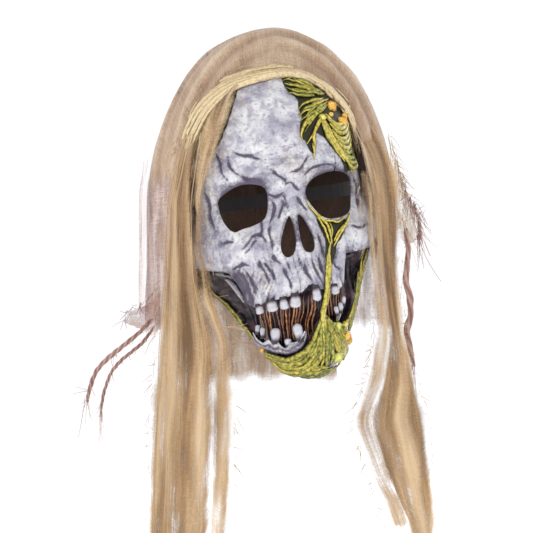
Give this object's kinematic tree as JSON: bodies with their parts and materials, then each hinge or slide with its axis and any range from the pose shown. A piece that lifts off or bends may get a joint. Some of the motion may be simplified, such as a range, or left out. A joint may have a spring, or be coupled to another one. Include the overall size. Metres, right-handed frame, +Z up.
{
  "type": "hooded latex skull mask",
  "caption": "Pull-on rotten skull face of cast latex with open eye, nose and mouth holes, a hinging jaw, a head strap and a torn gauze hood.",
  "frame": {"origin": "centre of the wearer's head at eye level, at mount head_seat", "axes": "-Y is the way the face looks, +X is the wearer's left, +Z is up. The head is worn leaning 7.5 degrees to the wearer's right, so the latex face and the strap are turned by that about Y and the hood hangs plumb."},
  "size_m": [0.2835, 0.2369, 0.4399],
  "materials": {
    "bone": "satin, hand-painted latex",
    "flesh": "glossy, hand-painted latex",
    "boil": "glossy, hand-painted latex",
    "mouth_dark": "satin, hand-painted latex",
    "sinew": "glossy, hand-painted latex",
    "teeth": "semi-gloss, hand-painted latex",
    "gauze": "loose-woven dyed cotton gauze",
    "sheer_gauze": "one open layer of the same gauze",
    "twisted_gauze": "gauze twisted into cords",
    "glue": "clear rubber cement",
    "elastic": "knitted elastic",
    "tab": "matt latex",
    "staple": "bright wire"
  },
  "bodies": {
    "mask": {"skull_shell": "bone", "right_temple_flesh": "flesh", "left_temple_flesh": "flesh", "temple_boils": "boil", "socket_web": "flesh", "flesh_strand": "flesh", "upper_teeth": "teeth", "mouth_skin": "mouth_dark", "mouth_sinews": "sinew", "right_strap_tab": "tab", "left_strap_tab": "tab", "brow_roll": "gauze", "hood_glue_line": "glue", "hood_cap": "gauze", "right_side_veil": "sheer_gauze", "left_side_veil": "sheer_gauze", "right_outer_veil": "sheer_gauze", "right_net_fan": "sheer_gauze", "right_cord_upper": "twisted_gauze", "right_cord_lower": "twisted_gauze", "left_torn_flap": "sheer_gauze"},
    "jaw": {"jaw_shell": "mouth_dark", "lower_teeth": "teeth", "gum_ridge": "bone", "chin_flesh": "flesh", "jaw_boils": "boil"},
    "strap": {"elastic_strap": "elastic", "strap_staples": "staple"},
    "right_front_drape": {"right_drape": "gauze", "right_inner_strip": "gauze"},
    "left_front_drape": {"left_drape": "gauze", "left_inner_strip": "gauze", "left_twist": "twisted_gauze"},
    "curtain": {"back_curtain": "gauze"}
  },
  "joints": [
    {"name": "jaw_flex", "type": "hinge", "parent": "mask", "child": "jaw", "pos_m": [0.00392, 0, -0.02974], "axis": [0.9914, 0, 0.1305], "range_deg": [-3, 7], "stiffness_Nm_per_rad": 2.5},
    {"name": "strap_swing", "type": "hinge", "parent": "mask", "child": "strap", "pos_m": [-0.00078, -0.008, 0.00595], "axis": [0.9914, 0, 0.1305], "range_deg": [-20, 20], "stiffness_Nm_per_rad": 0.2},
    {"name": "right_drape_swing", "type": "hinge", "parent": "mask", "child": "right_front_drape", "pos_m": [-0.058, -0.085, 0.062], "axis": [0, 1, 0], "range_deg": [0, 25]},
    {"name": "left_drape_swing", "type": "hinge", "parent": "mask", "child": "left_front_drape", "pos_m": [0.078, -0.07, 0.056], "axis": [0, -1, 0], "range_deg": [0, 25]},
    {"name": "back_curtain_swing", "type": "hinge", "parent": "mask", "child": "curtain", "pos_m": [0, 0.1085, -0.004], "axis": [1, 0, 0], "range_deg": [-5, 20]}
  ]
}
